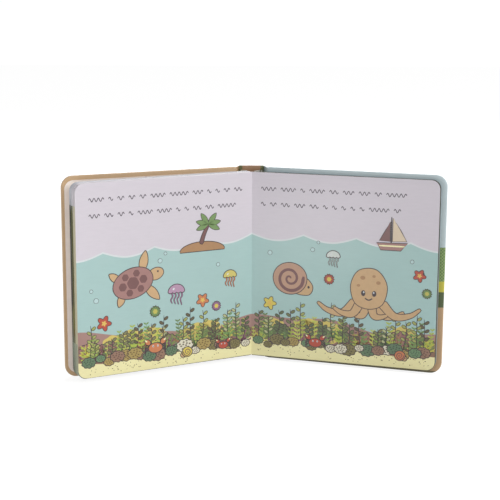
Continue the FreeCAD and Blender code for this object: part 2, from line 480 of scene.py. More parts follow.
def leaf_points(number, count):
    """Rings of one leaf: inset and depth follow a quarter circle at each face."""
    turn = np.linspace(0, math.pi / 2, SOFT_RINGS)
    inset = EDGE_SOFTNESS * (1 - np.sin(turn))
    sunk = EDGE_SOFTNESS * (1 - np.cos(turn))
    fore = PAGE + FORE_SHIFT[number]
    foot, head = PAGE_FOOT - DROOP[number], PAGE_FOOT + PAGE - DROOP[number] / 3
    # gap from the outline, millimetres from a face, and 1 when that is the rear face
    steps = [(gap, down, 0) for gap, down in zip(inset, sunk)]
    steps += [(gap, down, 1) for gap, down, _ in reversed(steps)]
    rings = []
    for gap, down, at_rear in steps:
        ring = outline(0, fore - gap, foot + gap, head - gap,
                       SQUARE_CORNER, PAGE_CORNER - gap, rungs=FORE_RUNGS)
        parted = FORE_GAP / 2 * ring[:, 0] / PAGE
        front = number * LEAF + parted * (number > 0)
        rear = (number + 1) * LEAF - parted * (number < count - 1)
        depth = rear - down if at_rear else front + down
        rings.append(np.stack([ring[:, 0], depth, ring[:, 1]], axis=-1))
    return np.stack(rings)


def edge_stops(side, number):
    """The inks of one leaf's edge: pale in front, olive, then nearly black at the back, where the
    black is painted shade; the right stack's edges are painted shade all over.
    """
    if side == RIGHT:
        return RIGHT_EDGE_SHADE
    return PALE_EDGE if number < 3 else RUBBED_EDGE if number < 5 else BACK_EDGE_AND_GAP_SHADE


def edge_inks(heights, stops):
    """Ink at each height, read off straight lines between the stops, in linear light."""
    levels = [level for level, _ in stops]
    shares = np.array([ink(*tint)[:3] for _, tint in stops])
    mixed = [np.interp(heights - PAGE_FOOT, levels, shares[:, channel]) for channel in range(3)]
    return np.column_stack(mixed + [np.ones(len(heights))])


def leaves(side):
    """All leaves of one side as one mesh of closed slabs."""
    points, standing, faces, finish_of, tint = [], [], [], [], []
    last = LEAVES[side] - 1
    for number in range(LEAVES[side]):
        slab = leaf_points(number, LEAVES[side])
        rings, count = slab.shape[:2]
        front = OPEN_PAGE if number == 0 else SHUT_PAGE
        rear = PASTED_PAGE if number == last else SHUT_PAGE
        rim = np.full((rings - 1, count), CUT_EDGE)
        rim[:SOFT_RINGS - 1] = front
        finish_of += [front, rear] + rim.ravel().tolist()
        faces += ring_faces(rings, count, start=sum(len(p) for p in points))
        points.append(slab.reshape(-1, 3))
        angle = PAGE_ANGLE[side] + FAN[side][number]
        standing.append(stand(points[-1], side, angle, GUTTER))
        tint.append(edge_inks(points[-1][:, 2], edge_stops(side, number)))
    laid = np.concatenate(points)
    name = "left_leaves" if side == LEFT else "right_leaves"
    finishes = [SPREAD, INNER_PAGE, LEAF_EDGE, LINING[side]]
    made = piece(name, np.concatenate(standing), faces, finishes, finish_of)
    along, height = side * laid[:, 0] / PAGE, (laid[:, 2] - PAGE_FOOT) / PAGE
    point_values(made, "page_place", np.stack([along, height, laid[:, 1]], axis=-1))
    # edge colours by height, with painted shade on the back leaves and the right stack
    point_values(made, "edge_ink_and_shade", np.concatenate(tint), "FLOAT_COLOR")
    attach(made, "leaves_and_spine")
    return report(made)


left_leaves = leaves(LEFT)
leaves(RIGHT)
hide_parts("page_block")

# %% [markdown]
# ## The folds behind the leaves
#
# Behind the gutter the card of the open spread turns from one stack to the other, and at the
# back two strips of pasted paper hold the stacks to the spine. A strip that follows a path is a
# short rectangle carried along it, with the path rounded as real paper rounds itself.
#
# %% Strips along a path
def through(points, steps=6, closed=False):
    """A smooth line through points: each span is the Catmull-Rom cubic of its four neighbours."""
    p = np.asarray(points, dtype=float)
    if closed:
        before, after, later = np.roll(p, 1, 0), np.roll(p, -1, 0), np.roll(p, -2, 0)
        here = p
    else:
        padded = np.concatenate([2 * p[:1] - p[1:2], p, 2 * p[-1:] - p[-2:-1]])
        before, here, after, later = padded[:-3], padded[1:-2], padded[2:-1], padded[3:]
    t = np.linspace(0, 1, steps, endpoint=False)[None, :, None]
    a, b, c, d = (q[:, None, :] for q in (before, here, after, later))
    square, cube = 2 * a - 5 * b + 4 * c - d, 3 * b - a - 3 * c + d
    curve = 0.5 * (2 * b + (c - a) * t + square * t**2 + cube * t**3)
    curve = curve.reshape(-1, p.shape[1])
    return curve if closed else np.concatenate([curve, p[-1:]])


def left_of(path):
    """Unit normals of a plan path, a quarter turn to the left of its direction."""
    step = np.gradient(path, axis=0)
    step /= np.linalg.norm(step, axis=1, keepdims=True)
    return np.stack([-step[:, 1], step[:, 0]], axis=-1)


def strip(path, thickness, foot, head, steps=8):
    """Points of a strip on its edge: a thin rectangle at every point of the rounded path."""
    line = through(path, steps)
    side_step = left_of(line) * thickness / 2
    corners = [(side_step, foot), (side_step, head), (-side_step, head), (-side_step, foot)]
    rings = [np.column_stack([line + shift, np.full(len(line), z)]) for shift, z in corners]
    return np.stack(rings, axis=1) * MM


def paper_finish():
    g = Graph("pasted_paper", roughness=0.7)
    fibres = g.noise(g.place(), 700, detail=3)
    g.bump(fibres, 0.00003)
    return g.colour(g.mix(fibres, ink(232, 226, 214), ink(212, 204, 190)))


FOLD_THICKNESS = 0.6
PAGE_HEAD = PAGE_FOOT + PAGE


def fold_path(side):
    """From inside the stack's last leaf, across the hollow, to the inside of the spine."""
    out, back = out_and_back(side, PAGE_ANGLE[side])
    root = GUTTER + back * (LEAVES[side] * LEAF - FOLD_THICKNESS / 2)
    landing = SPINE_EDGE[side] - side * 1.5
    seat = [np.array([x, SPINE_INSIDE]) for x in (landing - side * 3, landing)]
    return [root + out * 4, root + out * 0.3] + seat


# the wedge of card between the two open pages, in plan: its sides follow the pages' backs
left_back, right_back = (out_and_back(side, PAGE_ANGLE[side])[1] for side in (LEFT, RIGHT))
middle_back = left_back + right_back
middle_back /= np.linalg.norm(middle_back)
wedge_depth = LEAF / middle_back.dot(right_back)
wedge_plan = GUTTER + np.array([
    [0, 0], right_back * LEAF, middle_back * wedge_depth, left_back * LEAF,
])
wedge = np.stack([
    np.column_stack([wedge_plan, np.full(len(wedge_plan), z)]) for z in (PAGE_FOOT, PAGE_HEAD)
]) * MM
fold_shapes = [wedge]
for side in (LEFT, RIGHT):
    fold_shapes.append(strip(fold_path(side), FOLD_THICKNESS, PAGE_FOOT, PAGE_HEAD))
fold_faces, fold_points = [], []
for shape in fold_shapes:
    fold_faces += ring_faces(*shape.shape[:2], start=sum(len(p) for p in fold_points))
    fold_points.append(shape.reshape(-1, 3))
folds = piece("leaf_folds", np.concatenate(fold_points), fold_faces, [paper_finish()])
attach(folds, "leaves_and_spine")
report(folds)

# %% [markdown]
# ## The padded covers
#
# A padded cover is a grey board with a thin foam sheet on its outer face, and printed paper
# drawn tight round both. The outer face swells fast near the rim and then stays almost flat.
# Rings again give this form: each ring is the outline drawn in further, at the height that the
# foam has there.
#
# %% Cover finishes
OUTER_FACE = 3.6  # mm from the inside of a cover; past it a point is on the padded face
INK_BORDER = 0.3  # mm over which one printed colour gives way to the next
FLECK_SPACING = 17


def wrap_finish(name, picture_of):
    """Film-covered paper: the picture, a soft gloss, and a very slight orange-peel surface."""
    g = Graph(name, **COVER_FILM)
    where = g.place()
    picture = picture_of(g, where, g.stored("cover_place").outputs["Vector"])
    mottle = g.noise(where, 160, detail=3)
    g.bump(g.noise(where, 420, detail=2), 0.00005)
    return g.colour(g.shade(picture, mottle, 0.1, 0.95))


def disc(g, along, height, x, z, radius):
    """1 inside a circle of the cover, 0 outside."""
    across = g.math("SUBTRACT", along, x)
    rise = g.math("SUBTRACT", height, z)
    squares = [g.math("MULTIPLY", length, length) for length in (across, rise)]
    return g.below(g.math("SQRT", g.math("ADD", *squares)), radius, INK_BORDER)


def flecked(g, on_cover, ground, fleck):
    """The ground with small round flecks."""
    cells = g.cells(on_cover, 1 / FLECK_SPACING, 0.5)
    return g.mix(g.below(cells, 0.1, 0.03), ground, fleck)


def front_picture(g, where, on_cover):
    """Tan ground; on the outer face a pale sun and three rows of scalloped waves, all plain."""
    along, height, depth = g.split(on_cover)
    ground = g.mix(g.noise(where, 30, detail=3), TAN, ink(198, 168, 130))
    picture = flecked(g, on_cover, ground, ink(224, 204, 172))
    for radius, tint in ((42, ink(226, 206, 172)), (30, ink(236, 224, 160))):
        picture = g.mix(disc(g, along, height, 95, 128, radius), picture, tint)
    rows = [(62, ink(180, 208, 206)), (44, ink(150, 188, 188)), (26, ink(120, 160, 160))]
    for number, (level, tint) in enumerate(rows):
        wave = g.math("SINE", g.math("MULTIPLY_ADD", along, math.pi / 27, number * 0.9))
        edge = g.math("MULTIPLY_ADD", g.math("ABSOLUTE", wave), -7.0, level)
        crest = g.below(height, g.math("ADD", edge, 1.1), INK_BORDER)
        picture = g.mix(crest, picture, ink(226, 232, 230))
        picture = g.mix(g.below(height, edge, INK_BORDER), picture, tint)
    return g.mix(g.below(depth, OUTER_FACE, 0.2), picture, ground)


def back_picture(g, where, on_cover):
    """Light blue over a green check, a yellow and a dark green band, tan at the foot, and painted
    shade along the bottom edge.
    """
    along, height, depth = g.split(on_cover)
    check = g.tree.nodes.new("ShaderNodeTexChecker")
    g.put(check.inputs["Vector"], on_cover)
    check.inputs["Scale"].default_value = 1 / 1.6
    check.inputs["Color1"].default_value = ink(96, 132, 66)
    check.inputs["Color2"].default_value = ink(150, 176, 104)
    bands = [(132.0, check.outputs["Color"]), (97.0, ink(214, 206, 70)),
             (86.0, ink(74, 92, 44)), (70.0, TAN)]
    sky = g.mix(g.noise(where, 30), LIGHT_BLUE, ink(206, 222, 226))
    specks = flecked(g, on_cover, sky, ink(226, 234, 236))
    picture = g.mix(g.below(depth, OUTER_FACE, 0.2), specks, sky)
    for level, tint in bands:
        edge = g.waves(along, level, [(0.5, 0.13, 0.4)])
        picture = g.mix(g.below(height, edge, 0.4), picture, tint)
    # the bottom edge is painted dark as shade, where the rim sits in shadow under the pages
    return g.mix(g.below(height, 2.4, 0.8), picture, ink(98, 92, 58))


WRAP = {
    LEFT: wrap_finish("front_wrap", front_picture),
    RIGHT: wrap_finish("back_wrap", back_picture),
}
print("wraps ready")

# %% The pillowed boards
COVER_CORNER, ROOT_CORNER = 12.0, 3.0
RIM = 1.9  # radius of the outer rim
RIM_TOP = 3.9  # depth at which the rim meets the swell
SWELL = BOARD + CROWN - 3.95  # how much the foam adds in the middle
SWELL_REACH = 9  # how fast it does so
INNER_EDGE = [(0.7, 0.0), (0.42, 0.05), (0.2, 0.2), (0.05, 0.42), (0.0, 0.7)]
OUTER_RINGS = [3.2, 5, 7.5, 11, 16, 24, 36, 52, 70, 88]


def board_points():
    """Rings from the middle of the flat inside, round the rim, to the middle of the swell."""
    turn = np.linspace(0, math.pi / 2, 7)
    rim = np.column_stack([RIM * (1 - np.cos(turn)), RIM_TOP - RIM * (1 - np.sin(turn))])
    far = np.array(OUTER_RINGS)
    swell = RIM_TOP + SWELL * (1 - np.exp(-(far - RIM) / SWELL_REACH))
    rings = []
    for inset, depth in np.concatenate([INNER_EDGE, rim, np.column_stack([far, swell])]):
        ring = outline(
            inset, BOARD_WIDTH - inset, inset, COVER_HEIGHT - inset,
            max(ROOT_CORNER - inset, 0.3), max(COVER_CORNER - inset, 0.3),
        )
        rings.append(np.column_stack([ring[:, 0], np.full(len(ring), depth), ring[:, 1]]))
    return np.stack(rings)


def padded_cover(side):
    laid = board_points()
    rings, count = laid.shape[:2]
    standing = stand(laid.reshape(-1, 3), side, COVER_ANGLE[side], COVER_ROOT[side])
    faces = ring_faces(rings, count)
    made = piece(CASE[side] + "_padded", standing, faces, [WRAP[side]], crease=60)
    point_values(made, "cover_place", laid.reshape(-1, 3)[:, [0, 2, 1]])
    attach(made, CASE[side])
    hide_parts(CASE[side])
    return report(made)


padded_cover(LEFT)
padded_cover(RIGHT)

# %% [markdown]
# ## The flexible joints
#
# Between the spine and each board the wrap runs on alone, as a strip. It is one strip carried
# along a rounded path from inside the spine's edge to inside the board.
#
# %% Joint strips
JOINT_THICKNESS = 1.2
JOINT_MARGIN = 0.5  # the strip ends this far inside the foot and the head of the covers


def joint(side):
    """A strip from the spine to the board."""
    out, back = out_and_back(side, COVER_ANGLE[side])
    mouth = COVER_ROOT[side] + back * 1.0
    start = np.array([SPINE_EDGE[side] - side * 1.6, HINGE[side][1]])
    elbow = HINGE[side] + np.array([side * 0.15, -0.45])
    middle = (elbow + mouth) / 2
    path = [start, start + [side * 1.1, 0], elbow, middle, mouth, mouth + out * 2.2]
    shape = strip(path, JOINT_THICKNESS, JOINT_MARGIN, COVER_HEIGHT - JOINT_MARGIN)
    points = shape.reshape(-1, 3)
    made = piece(CASE[side] + "_joint", points, ring_faces(*shape.shape[:2]), [WRAP[side]])
    # only the height counts for the picture here
    nowhere = np.zeros(len(points))
    point_values(made, "cover_place", np.column_stack([nowhere, points[:, 2] / MM, nowhere]))
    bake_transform(made)
    return report(made)


joint(LEFT)
joint(RIGHT)

# %% [markdown]
# ## The spine and the pasted sheets
#
# These three keep their CAD shapes, which are already right, and get finishes. A CAD node has
# no stored places, so its picture reads Object coordinates.
#
# %% Spine and endpaper finishes
def spine_finish():
    """Brown down the middle and green near the edges, under the film of the covers."""
    g = Graph("spine_wrap", **COVER_FILM)
    where = g.place()
    x = g.split(where)[0]
    middle = sum(SPINE_EDGE.values()) / 2 * MM
    from_middle = g.math("ABSOLUTE", g.math("SUBTRACT", x, middle))
    brown = g.mix(g.noise(where, 60, detail=3), ink(186, 146, 112), ink(160, 120, 88))
    green = g.mix(g.noise(where, 90, detail=3), ink(86, 98, 58), ink(118, 112, 62))
    picture = g.mix(g.below(from_middle, 0.0095, 0.0006), green, brown)
    g.bump(g.noise(where, 420, detail=2), 0.00005)
    return g.colour(g.shade(picture, g.noise(where, 160), 0.12, 0.94))


def dress(node, finish):
    """Gives a CAD node a new finish and leaves its shape alone."""
    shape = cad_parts[node]
    shape.data.materials.clear()
    shape.data.materials.append(finish)
    print(node, "finished as", finish.name)


dress("spine", spine_finish())
dress("front_endpaper", LINING[LEFT])
dress("back_endpaper", LINING[RIGHT])

# %% [markdown]
# ## Print as thin shapes
#
# The picture's small things are flat shapes of ink with a dark line round them. They could be
# drawn with nodes, but shapes with corners are far simpler as outlines. Each becomes a plate.
# The plates lie in levels a hundredth of a millimetre apart and at most a quarter of one above
# the card, so the page still looks flat. Every plate stores its own ink.
#
# %% Shapes of ink
STEP = 0.01  # mm between one level of ink and the next
PLATE_ROOT = 0.02  # how deep a plate is rooted in the card
OUTLINE_WIDTH = 0.8  # mm of dark line round a shape


class Print:
    """Collects outlines in page millimetres, each with an ink and a level above the card."""

    def __init__(self):
        self.loops, self.inks, self.levels = [], [], []

    def patch(self, loop, colour, level):
        self.loops.append(np.asarray(loop, dtype=float))
        self.inks.append(colour)
        self.levels.append(level)

    def lined(self, loop, colour, level, line=OUTLINE_WIDTH):
        """A patch on top of a slightly larger dark one, which shows as its outline."""
        self.patch(grown(loop, line), LINE, level)
        self.patch(loop, colour, level + 1)


def grown(loop, by):
    """The outline moved outwards by a distance along its normals."""
    ahead, behind = np.roll(loop, -1, 0), np.roll(loop, 1, 0)
    step = ahead - behind
    step /= np.linalg.norm(step, axis=1, keepdims=True) + 1e-9
    normal = np.stack([step[:, 1], -step[:, 0]], axis=-1)
    area = 0.5 * np.sum(loop[:, 0] * ahead[:, 1] - ahead[:, 0] * loop[:, 1])
    return loop + normal * by * math.copysign(1, area)


def oval(x, y, rx, ry, turn=0.0, count=26):
    """Ellipse: centre plus rx cos t and ry sin t, turned by an angle in degrees."""
    t = np.linspace(0, 2 * math.pi, count, endpoint=False)
    return np.array([x, y]) + turned(np.column_stack([rx * np.cos(t), ry * np.sin(t)]), turn)


def turned(points, degrees):
    c, s = math.cos(math.radians(degrees)), math.sin(math.radians(degrees))
    return np.asarray(points) @ np.array([[c, s], [-s, c]])


def brush(points, start_width, end_width, steps=6):
    """A stroke: a smooth path with its width running evenly from one end to the other."""
    path = through(points, steps)
    half = np.linspace(start_width, end_width, len(path))[:, None] / 2
    half[0] *= 0.6
    half[-1] *= 0.6
    side_step = left_of(path) * half
    return np.concatenate([path + side_step, (path - side_step)[::-1]])


def blade(x, y, length, width, angle, count=7):
    """A leaf shape from its stem: half width is the sine of the share of its length."""
    t = np.linspace(0, 1, count)
    half = width / 2 * np.sin(math.pi * t) ** 0.8
    half[0] = half[-1] = 0.02
    upper = np.column_stack([t * length, half])
    lower = upper[::-1] * [1, -1]
    return np.array([x, y]) + turned(np.concatenate([upper, lower]), angle)


def lobed(x, y, radius, lobes, depth, turn=0.0, squash=1.0, count=60):
    """Radius times 1 + depth cos(lobes t): a star, a flower or a lump of coral."""
    t = np.linspace(0, 2 * math.pi, count, endpoint=False)
    r = radius * (1 + depth * np.cos(lobes * t + math.radians(turn)))
    return np.array([x, y]) + np.column_stack([r * np.cos(t), squash * r * np.sin(t)])


print("shapes ready")

# %% [markdown]
# ## Weeds and coral
#
# The foot of the picture is crowded with growing things in greens, olives and browns. A few
# recipes with seeded random places fill it: fronds with paired blades, twigs with round leaves,
# branching strokes, lumps of coral with dots, and specks on the sand.
#
# %% Growing things
GREENS = [ink(150, 176, 84), ink(176, 190, 78), ink(120, 152, 86), ink(196, 204, 96),
          ink(104, 128, 74)]
OLIVES = [ink(110, 116, 74), ink(92, 104, 70), ink(128, 126, 84), ink(96, 88, 62),
          ink(186, 190, 140), ink(164, 170, 96)]
BUSH_INKS = [ink(140, 96, 112), ink(112, 82, 70), ink(206, 196, 84), ink(84, 104, 66),
             ink(170, 128, 92)]
# a ground and its dots
LUMP_INKS = [(ink(196, 178, 96), ink(168, 148, 72)), (ink(126, 132, 76), ink(96, 104, 56)),
             (ink(150, 108, 104), ink(120, 82, 80)), (ink(96, 108, 70), ink(70, 82, 50))]
CORAL_INKS = [(ink(108, 140, 102), ink(70, 96, 70)), (ink(150, 116, 96), ink(108, 80, 66)),
              (ink(228, 222, 200), ink(120, 108, 90)), (ink(128, 118, 74), ink(84, 78, 46)),
              (ink(96, 122, 92), ink(64, 84, 62)), (ink(172, 150, 88), ink(120, 98, 56))]
# levels above the card, from the back of the picture to its front
BACKGROUND, LUMP, BUSH, FROND, TWIG, CORAL, TOP = 1, 2, 5, 6, 8, 10, 16
SEEDS_TURN = 137.5  # degrees from one dot to the next, as seeds sit in a sunflower


def frond(page, x, y, height, sway, colour, level):
    """A stem with pairs of blades, smaller towards the tip."""
    t = np.linspace(0, 1, 5)
    stem = np.column_stack([x + sway * t**2, y + height * t])
    page.patch(brush(stem, 0.9, 0.4, 3), colour, level)
    pairs = max(int(height / 4.2), 3)
    for number in range(1, pairs + 1):
        share = number / (pairs + 0.6)
        size = height * 0.24 * (1 - 0.45 * share)
        cx, cy = x + sway * share**2, y + height * share
        for tilt in (38, 142):
            page.patch(blade(cx, cy, size, size * 0.42, tilt), colour, level)


def twig(page, x, y, height, sway, colour, level):
    """A dark stem with round, outlined leaves left and right."""
    t = np.linspace(0, 1, 5)
    stem = np.column_stack([x + sway * np.sin(t * 2.4), y + height * t])
    page.patch(brush(stem, 0.9, 0.6, 4), LINE, level)
    leaf_count = 6
    for number in range(leaf_count):
        share = 0.3 + 0.68 * number / leaf_count
        cx = x + sway * math.sin(share * 2.4)
        cy = y + height * share
        way = 1 if number % 2 else -1
        page.lined(oval(cx + way * 2.6, cy + 1.6, 2.3, 1.25, way * 35, 14), colour, level + 1, 0.55)


def coral(page, x, y, radius, colour, dot, level, lobes=9):
    """A low lump with a scalloped edge and dots that spiral out from its middle."""
    dots, squash = 12, 0.72
    page.lined(lobed(x, y, radius, lobes, 0.07, 20, squash), colour, level)
    for number in range(dots):
        angle = math.radians(number * SEEDS_TURN)
        reach = radius * 0.78 * math.sqrt((number + 0.5) / dots)
        cx, cy = x + reach * math.cos(angle), y + squash * reach * math.sin(angle)
        page.patch(oval(cx, cy, radius * 0.13, radius * 0.1, 0, 10), dot, level + 2)


def bush(page, x, y, size, colour, level):
    """Tapering strokes that fan out from one foot, each with a fork: a branching coral."""
    foot = np.array([x, y])
    for number, angle in enumerate(np.linspace(24, 156, 9)):
        sign = 1 if number % 2 else -1
        way = np.array([math.cos(math.radians(angle)), math.sin(math.radians(angle))])
        reach = size * (0.8 + 0.2 * math.sin(number * 2.3))
        bend = np.array([-way[1], way[0]]) * 0.1 * reach * sign
        arm = [foot, foot + way * reach * 0.5 + bend, foot + way * reach]
        page.patch(brush(arm, 0.13 * size, 0.05 * size, 4), colour, level)
        fork = foot + way * reach * 0.55 + bend
        twiglet = [fork, fork + turned(way * reach * 0.34, 34 * sign)]
        page.patch(brush(twiglet, 0.08 * size, 0.04 * size, 3), colour, level)


def seabed(page, side, seed):
    """Places the growing things along one page. u is the distance from the gutter."""
    rng = np.random.default_rng(seed)

    def along(first, last, count, stray):
        return np.linspace(first, last, count) + rng.uniform(-stray, stray, count)

    def pick(inks):
        return inks[int(rng.integers(len(inks)))]

    for u in rng.uniform(15, 175, 5):
        mound = lobed(side * u, 31, rng.uniform(12, 17), 7, 0.05, 40, 0.8)
        page.patch(mound, ink(216, 196, 106), BACKGROUND)
    for u in along(12, 182, 9, 5):
        colour, dot = pick(LUMP_INKS)
        coral(page, side * u, rng.uniform(25, 30), rng.uniform(8, 13), colour, dot, LUMP, 11)
    for u in along(10, 186, 13, 4):
        colour = pick(BUSH_INKS)
        bush(page, side * u, rng.uniform(14, 24), rng.uniform(12, 20), colour, BUSH)
    for number, u in enumerate(along(5, 189, 38, 2)):
        height = rng.uniform(12, 30)
        foot = rng.uniform(12, 24)
        colour = pick(GREENS)
        sway = side * rng.uniform(-3, 3)
        frond(page, side * u, foot, height, sway, colour, FROND + number % 3)
    for u in along(9, 186, 17, 5):
        colour = pick(OLIVES)
        height = rng.uniform(20, 44)
        twig(page, side * u, rng.uniform(14, 22), height, rng.uniform(-4, 4), colour, TWIG)
    for number, u in enumerate(along(9, 185, 19, 3)):
        colour, dot = pick(CORAL_INKS)
        radius = rng.uniform(4, 9)
        y = rng.uniform(11, 17) + 0.4 * radius
        coral(page, side * u, y, radius, colour, dot, CORAL + 3 * (number % 2))
    for u, v in zip(rng.uniform(6, 190, 90), rng.uniform(2.5, 13, 90)):
        grain = oval(side * u, v, rng.uniform(0.35, 0.8), rng.uniform(0.25, 0.55), 0, 8)
        page.patch(grain, ink(120, 104, 62), BACKGROUND)


print("growing things ready")

# %% [markdown]
# ## Creatures and craft
#
# The big motifs are generic ones: a turtle, an octopus, curled shells, a small boat, a palm
# island, jellyfish, stars, urchins, crabs and bubbles. Each is a handful of ovals, blades and
# strokes. A motif gives its places and widths as shares of its size, so one recipe serves for
# any size.
#
# %% Shapes in shares of a motif's size
MAUVE, DEEP_MAUVE = ink(166, 124, 118), ink(120, 82, 80)
BISCUIT, DEEP_BISCUIT = ink(208, 172, 128), ink(176, 134, 94)


class Form:
    """Shapes given in shares of a motif's size, round its own centre."""

    def __init__(self, x, y, size, turn=0.0):
        self.centre, self.size, self.turn = np.array([x, y]), size, turn

    def at(self, places):
        """Page millimetres of one place or of a list of them."""
        return self.centre + turned(np.asarray(places, dtype=float) * self.size, self.turn)

    def oval(self, px, py, rx, ry, turn=0.0, count=26):
        return oval(*self.at([px, py]), rx * self.size, ry * self.size, turn, count)

    def blade(self, px, py, length, width, angle, count=7):
        return blade(*self.at([px, py]), length * self.size, width * self.size, angle, count)

    def stroke(self, places, start_width, end_width, steps=6):
        return brush(self.at(places), start_width * self.size, end_width * self.size, steps)

    def loop(self, places):
        """A smooth closed outline through the places."""
        return through(self.at(places), closed=True)


print("form ready")

# %% Motifs
def turtle(page, x, y, size, turn):
    """Oval shell with plates, four flippers and a head."""
    form = Form(x, y, size, turn)
    for px, py, length, width, tilt in [(0.55, 0.3, 1.1, 0.42, 62), (0.55, -0.3, 1.1, 0.42, -62),
                                        (-0.6, 0.3, 0.7, 0.34, 128), (-0.6, -0.3, 0.7, 0.34, -128)]:
        page.lined(form.blade(px, py, length, width, tilt + turn, 9), BISCUIT, TOP)
    page.lined(form.oval(1.25, 0, 0.4, 0.28, turn), BISCUIT, TOP)
    page.lined(form.oval(0, 0, 1.05, 0.72, turn, 36), MAUVE, TOP + 2)
    for px, py, r in [(0, 0, 0.3), (0.56, 0, 0.2), (-0.56, 0, 0.2), (0.3, 0.4, 0.17),
                      (0.3, -0.4, 0.17), (-0.3, 0.4, 0.17), (-0.3, -0.4, 0.17)]:
        plate = lobed(*form.at([px, py]), r * size, 6, 0.05, turn, count=24)
        page.patch(plate, DEEP_MAUVE, TOP + 4)
    page.patch(form.oval(1.38, 0.08, 0.05, 0.05, count=10), LINE, TOP + 2)


def octopus(page, x, y, size):
    """A round head over six tapering arms that curl at their tips, the inner ones more."""
    form = Form(x, y, size)
    for number, spread in enumerate((-1.5, -0.9, -0.3, 0.3, 0.9, 1.5)):
        way = math.copysign(1, spread)
        inner = (1.5 - abs(spread)) / 1.2
        arm = np.array([spread * 0.35, -0.35]) + np.array([
            [0, 0],
            [spread * 0.35, -0.5],
            [spread * 0.75 + way * 0.12 * inner, -0.62 + 0.12 * abs(spread)],
            [spread * 0.95 + way * (0.12 + 0.25 * inner), -0.3 + 0.1 * abs(spread) - 0.22 * inner],
        ])
        page.lined(form.stroke(arm, 0.36, 0.1, 8), BISCUIT, TOP + 2 * (number % 2))
    head = form.loop([[-0.55, -0.4], [-0.72, 0.3], [-0.4, 0.9], [0.3, 0.95], [0.72, 0.35],
                      [0.55, -0.4], [0, -0.62]])
    page.lined(head, BISCUIT, TOP + 4)
    for px, py, r in [(-0.25, 0.62, 0.1), (0.2, 0.7, 0.07), (0.38, 0.45, 0.09), (-0.42, 0.3, 0.07)]:
        page.patch(form.oval(px, py, r, 0.8 * r, count=14), DEEP_BISCUIT, TOP + 6)
    for way in (-1, 1):
        page.patch(form.oval(way * 0.22, 0, 0.09, 0.12, count=14), LINE, TOP + 6)
        page.patch(form.oval(way * 0.2, 0.04, 0.03, 0.04, count=8), FOAM, TOP + 7)
    mouth = form.stroke([[-0.15, -0.2], [0, -0.27], [0.15, -0.2]], 0.05, 0.05)
    page.patch(mouth, LINE, TOP + 6)


def curled_shell(page, x, y, size, way, colour, deep):
    """A soft body under a round shell, with a spiral whose radius grows with the angle."""
    form = Form(x, y, size)
    body = form.loop([[way * 0.2, -0.75], [way * 1.1, -0.9], [way * 1.35, -0.4],
                      [way * 0.9, 0.1], [way * 0.2, 0.1]])
    page.lined(body, BISCUIT, TOP)
    page.lined(form.oval(0, 0, 1, 0.92, count=36), colour, TOP + 2)
    t = np.linspace(0.3, 4.2 * math.pi, 60)[::3]
    r = 0.86 * t / (4.2 * math.pi)
    spiral = np.column_stack([way * r * np.cos(t), r * np.sin(t)])
    page.patch(form.stroke(spiral, 0.1, 0.2, 3), deep, TOP + 4)
    page.patch(form.oval(way * 1.12, -0.45, 0.07, 0.08, count=10), LINE, TOP + 2)


def jellyfish(page, x, y, size, colour, deep):
    """A half-round bell with a wavy hem and four trailing arms."""
    form = Form(x, y, size)
    for number, px in enumerate((-0.6, -0.2, 0.2, 0.6)):
        arm = [[px, 0], [px + 0.12, -0.5], [px - 0.1, -0.9], [px + 0.06, -1.3 - 0.1 * number]]
        page.lined(form.stroke(arm, 0.16, 0.07), deep, TOP, 0.35)
    t = np.linspace(0, math.pi, 20)
    dome = np.column_stack([np.cos(t), 0.85 * np.sin(t)])
    across = np.linspace(-1, 1, 25)[1:-1]
    hem = np.column_stack([across, -0.12 * np.abs(np.sin(across * 2 * math.pi))])
    page.lined(form.at(np.concatenate([dome, hem])), colour, TOP + 2)
    page.patch(form.oval(-0.35, 0.35, 0.16, 0.1, 40, 12), FOAM, TOP + 4)


def star(page, x, y, size, colour, turn):
    """Five blunt rays with a smaller, paler star in the middle."""
    page.lined(lobed(x, y, size, 5, 0.3, turn), colour, TOP, 0.65)
    page.patch(lobed(x, y, size * 0.4, 5, 0.3, turn, count=30), ink(226, 190, 96), TOP + 2)


def crab(page, x, y, size, colour):
    """A wide body, legs as strokes, and two claws."""
    form = Form(x, y, size)
    for way in (-1, 1):
        for lift in (-0.5, -0.15, 0.2):
            leg = [[way * 0.6, 0], [way * 1.3, lift + 0.25], [way * 1.6, lift - 0.4]]
            page.patch(form.stroke(leg, 0.22, 0.12, 4), LINE, TOP)
        page.lined(form.oval(way * 1.15, 0.85, 0.42, 0.32, way * 40, 18), colour, TOP)
        page.patch(form.blade(way * 1.2, 0.9, 0.5, 0.22, 90 - way * 50), SAND, TOP + 2)
    page.lined(form.oval(0, 0, 1, 0.66, count=28), colour, TOP + 3)
    for way in (-1, 1):
        page.patch(form.oval(way * 0.35, 0.25, 0.13, 0.16, count=10), FOAM, TOP + 5)
        page.patch(form.oval(way * 0.35, 0.22, 0.06, 0.08, count=8), LINE, TOP + 6)


def boat(page, x, y, size):
    """Mast, two sails, hull and a pale stripe along it."""
    form = Form(x, y, size)
    page.patch(form.stroke([[0, 0], [0, 2.3]], 0.14, 0.1), LINE, TOP)
    sail = form.at([[0.12, 0.3], [1.25, 0.36], [0.75, 1.2], [0.14, 2.2]])
    jib = form.at([[-0.12, 0.3], [-0.95, 0.34], [-0.5, 1.1], [-0.12, 1.9]])
    hull = form.at([[-1.2, 0.1], [-0.85, -0.42], [0.8, -0.42], [1.35, 0.16]])
    page.lined(sail, ink(226, 206, 178), TOP)
    page.lined(jib, DEEP_MAUVE, TOP)
    page.lined(hull, MAUVE, TOP + 2)
    page.patch(form.stroke([[-1.0, -0.1], [1.1, -0.08]], 0.13, 0.13), SAND, TOP + 4)


